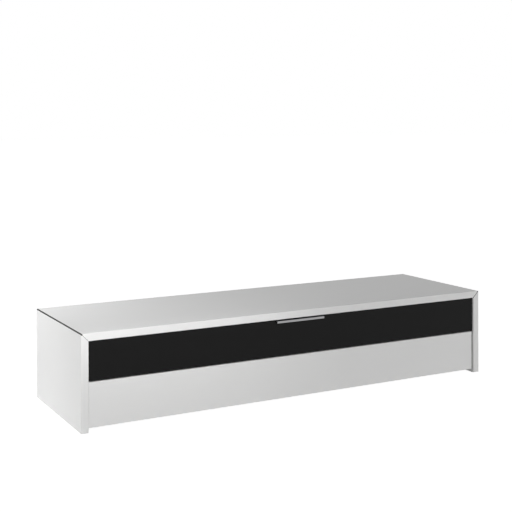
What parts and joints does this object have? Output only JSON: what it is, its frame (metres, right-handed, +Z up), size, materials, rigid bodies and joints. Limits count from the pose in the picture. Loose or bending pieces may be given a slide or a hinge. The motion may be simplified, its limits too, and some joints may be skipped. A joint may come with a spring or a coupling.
{
  "type": "tv lowboard",
  "caption": "Long low white media cabinet with a black glass drop flap above a full-width push-to-open drawer, in a mitred frame.",
  "frame": {"origin": "middle of the footprint on the floor, with the handle's depth counted in", "axes": "+X to the right seen from the front, +Y from the front into the cabinet, +Z up"},
  "size_m": [1.8, 0.543, 0.355],
  "materials": {
    "white_gloss_lacquer": "high-gloss white lacquer on fibreboard",
    "black_glass": "back-painted black glass, polished",
    "black_panel": "black faced fibreboard",
    "white_board": "satin white faced board",
    "drawer_board": "satin pale grey faced board",
    "satin_aluminium": "satin anodised",
    "zinc_plated_steel": "zinc plated",
    "nickel_plated_steel": "satin nickel plated",
    "black_plastic": "fine-grained",
    "grey_plastic": "fine-grained",
    "beech_wood": "plain fluted beech"
  },
  "bodies": {
    "carcass": {"cable_grommets": "black_plastic", "back_panel_screws": "zinc_plated_steel", "back_panel": "white_board", "cam_fittings": "nickel_plated_steel", "wood_dowels": "beech_wood", "side_glides": "black_plastic", "base_feet": "black_plastic", "shelf_stiffener": "zinc_plated_steel", "hinge_pins": "nickel_plated_steel", "left_hinge_arm": "nickel_plated_steel", "centre_hinge_arm": "nickel_plated_steel", "right_hinge_arm": "nickel_plated_steel", "right_stay_base": "nickel_plated_steel", "left_stay_base": "nickel_plated_steel", "right_magnetic_catch": "black_plastic", "left_magnetic_catch": "black_plastic", "right_outer_runner": "zinc_plated_steel", "left_outer_runner": "zinc_plated_steel", "right_push_latch": "grey_plastic", "left_push_latch": "grey_plastic", "carcass_fitting_screws": "zinc_plated_steel", "top_panel": "white_gloss_lacquer", "right_side_panel": "white_gloss_lacquer", "left_side_panel": "white_gloss_lacquer", "shelf_panel": "white_board", "base_panel": "white_board", "right_divider": "white_board", "left_divider": "white_board", "right_rear_upright": "white_board", "left_rear_upright": "white_board"},
    "flap": {"flap_glass": "black_glass", "flap_panel": "black_panel", "handle": "satin_aluminium", "handle_screws": "zinc_plated_steel", "flap_fitting_screws": "zinc_plated_steel", "left_hinge_leaf": "nickel_plated_steel", "centre_hinge_leaf": "nickel_plated_steel", "right_hinge_leaf": "nickel_plated_steel", "left_stay_bracket": "nickel_plated_steel", "left_strike_plate": "nickel_plated_steel", "right_stay_bracket": "nickel_plated_steel", "right_strike_plate": "nickel_plated_steel"},
    "drawer": {"drawer_front": "white_gloss_lacquer", "drawer_back": "drawer_board", "drawer_bottom": "drawer_board", "drawer_bottom_rails": "drawer_board", "drawer_dowels": "beech_wood", "drawer_runner_screws": "zinc_plated_steel", "left_drawer_side": "drawer_board", "left_inner_runner": "zinc_plated_steel", "right_drawer_side": "drawer_board", "right_inner_runner": "zinc_plated_steel"},
    "left_stay_arm": {"left_stay_arm": "nickel_plated_steel"},
    "left_stay_swivel": {"left_stay_swivel": "nickel_plated_steel"},
    "left_middle_runner": {"left_middle_runner": "zinc_plated_steel"},
    "left_latch_plunger": {"left_latch_plunger": "grey_plastic"},
    "right_stay_arm": {"right_stay_arm": "nickel_plated_steel"},
    "right_stay_swivel": {"right_stay_swivel": "nickel_plated_steel"},
    "right_middle_runner": {"right_middle_runner": "zinc_plated_steel"},
    "right_latch_plunger": {"right_latch_plunger": "grey_plastic"}
  },
  "joints": [
    {"name": "flap_hinge", "type": "hinge", "parent": "carcass", "child": "flap", "pos_m": [0, -0.2505, 0.20257], "axis": [1, 0, 0], "range_deg": [0, 90]},
    {"name": "drawer_slide", "type": "slide", "parent": "carcass", "child": "drawer", "axis": [0, -1, 0], "range_m": [0, 0.36]},
    {"name": "left_stay_swivel_turn", "type": "hinge", "parent": "carcass", "child": "left_stay_swivel", "pos_m": [-0.867, -0.19131, 0.27311], "axis": [1, 0, 0], "range_deg": [0, 45]},
    {"name": "left_stay_arm_turn", "type": "hinge", "parent": "flap", "child": "left_stay_arm", "pos_m": [-0.861, -0.23451, 0.29325], "axis": [1, 0, 0], "range_deg": [-45, 0]},
    {"name": "left_middle_runner_slide", "type": "slide", "parent": "carcass", "child": "left_middle_runner", "axis": [0, -1, 0], "range_m": [0, 0.18]},
    {"name": "left_latch_plunger_press", "type": "slide", "parent": "carcass", "child": "left_latch_plunger", "axis": [0, -1, 0], "range_m": [-0.004, 0], "stiffness_N_per_m": 400, "springref_m": 0.005},
    {"name": "right_stay_swivel_turn", "type": "hinge", "parent": "carcass", "child": "right_stay_swivel", "pos_m": [0.867, -0.19131, 0.27311], "axis": [1, 0, 0], "range_deg": [0, 45]},
    {"name": "right_stay_arm_turn", "type": "hinge", "parent": "flap", "child": "right_stay_arm", "pos_m": [0.861, -0.23451, 0.29325], "axis": [1, 0, 0], "range_deg": [-45, 0]},
    {"name": "right_middle_runner_slide", "type": "slide", "parent": "carcass", "child": "right_middle_runner", "axis": [0, -1, 0], "range_m": [0, 0.18]},
    {"name": "right_latch_plunger_press", "type": "slide", "parent": "carcass", "child": "right_latch_plunger", "axis": [0, -1, 0], "range_m": [-0.004, 0], "stiffness_N_per_m": 400, "springref_m": 0.005}
  ],
  "couplings": [
    {"joint": "left_stay_swivel_turn", "follows": "flap_hinge", "ratio": 0.5},
    {"joint": "left_stay_arm_turn", "follows": "flap_hinge", "ratio": -0.5},
    {"joint": "left_middle_runner_slide", "follows": "drawer_slide", "ratio": 0.5},
    {"joint": "right_stay_swivel_turn", "follows": "flap_hinge", "ratio": 0.5},
    {"joint": "right_stay_arm_turn", "follows": "flap_hinge", "ratio": -0.5},
    {"joint": "right_middle_runner_slide", "follows": "drawer_slide", "ratio": 0.5}
  ]
}
